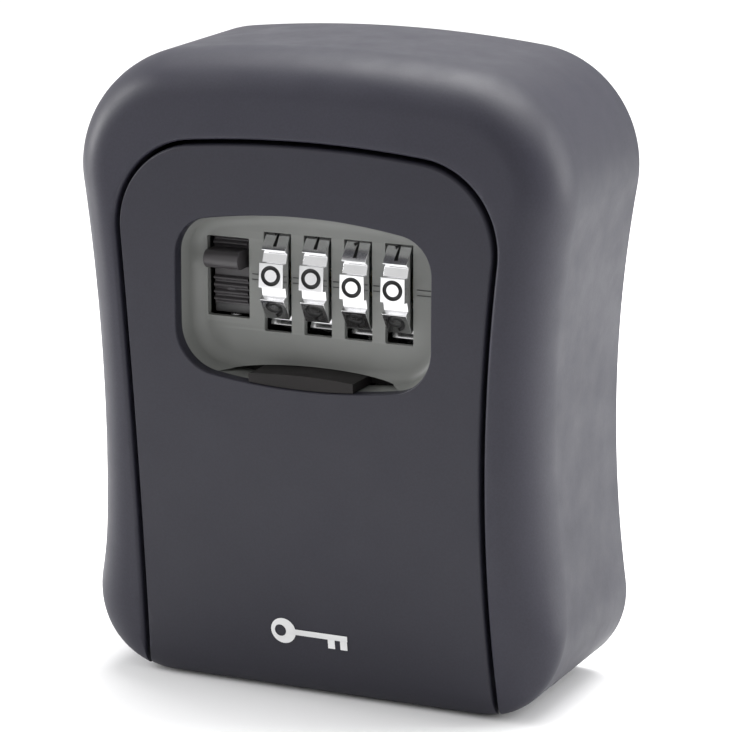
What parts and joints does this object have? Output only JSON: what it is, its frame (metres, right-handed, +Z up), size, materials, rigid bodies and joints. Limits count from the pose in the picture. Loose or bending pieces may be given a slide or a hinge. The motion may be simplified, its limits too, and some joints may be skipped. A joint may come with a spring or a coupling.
{
  "type": "wall mounted key lock box",
  "caption": "Wall mounted key safe with a waisted bowed casing, a drop-down door, chrome combination wheels in a recessed window and an opening slider.",
  "frame": {"origin": "centre of the wall bolt pattern on the wall face", "axes": "+X right seen from the front, +Y into the wall, -Y the front, +Z up"},
  "size_m": [0.097, 0.0426, 0.12],
  "materials": {
    "casing": "fine textured anthracite powder coat",
    "door_paint": "fine textured anthracite powder coat",
    "panel_grey": "satin moulded grey plastic",
    "black_plastic": "satin moulded black plastic",
    "liner_foam": "closed cell foam",
    "chrome_dial": "bright chrome",
    "brass_sleeve": "turned",
    "steel": "zinc plated",
    "lever_red": "moulded"
  },
  "bodies": {
    "case": {"body_case": "casing", "back_liner": "liner_foam", "hinge_pins": "steel", "strike_plate": "steel", "strike_screws": "steel", "key_hook": "black_plastic", "hook_screw": "steel"},
    "door": {"door_cover": "door_paint", "lock_panel": "panel_grey", "finger_pull": "black_plastic", "lock_box": "black_plastic", "box_screws": "steel", "detent_spring": "steel", "dial_axle": "steel", "slider_spring": "steel", "lever_rivet": "steel"},
    "slider": {"open_slider": "black_plastic", "bolt_plate": "steel", "fence_comb": "steel", "slider_rivets": "steel"},
    "reset": {"reset_lever": "lever_red"},
    "wheel_1": {"dial_1": "chrome_dial", "code_sleeve_1": "brass_sleeve"},
    "wheel_2": {"dial_2": "chrome_dial", "code_sleeve_2": "brass_sleeve"},
    "wheel_3": {"dial_3": "chrome_dial", "code_sleeve_3": "brass_sleeve"},
    "wheel_4": {"dial_4": "chrome_dial", "code_sleeve_4": "brass_sleeve"}
  },
  "joints": [
    {"name": "door_hinge", "type": "hinge", "parent": "case", "child": "door", "pos_m": [0, -0.0322, -0.053], "axis": [1, 0, 0], "range_deg": [0, 95]},
    {"name": "slider_travel", "type": "slide", "parent": "door", "child": "slider", "axis": [0, 0, 1], "range_m": [-0.005, 0.0019], "deforming": ["slider_spring"]},
    {"name": "reset_turn", "type": "hinge", "parent": "door", "child": "reset", "pos_m": [0.013, -0.013, 0.01], "axis": [0, 1, 0], "range_deg": [-50, 0]},
    {"name": "dial_1_spin", "type": "hinge", "parent": "door", "child": "wheel_1", "pos_m": [-0.00805, -0.02725, 0.0184], "axis": [1, 0, 0], "continuous": true},
    {"name": "dial_2_spin", "type": "hinge", "parent": "door", "child": "wheel_2", "pos_m": [0, -0.02725, 0.0184], "axis": [1, 0, 0], "continuous": true},
    {"name": "dial_3_spin", "type": "hinge", "parent": "door", "child": "wheel_3", "pos_m": [0.00805, -0.02725, 0.0184], "axis": [1, 0, 0], "continuous": true},
    {"name": "dial_4_spin", "type": "hinge", "parent": "door", "child": "wheel_4", "pos_m": [0.0161, -0.02725, 0.0184], "axis": [1, 0, 0], "continuous": true}
  ]
}
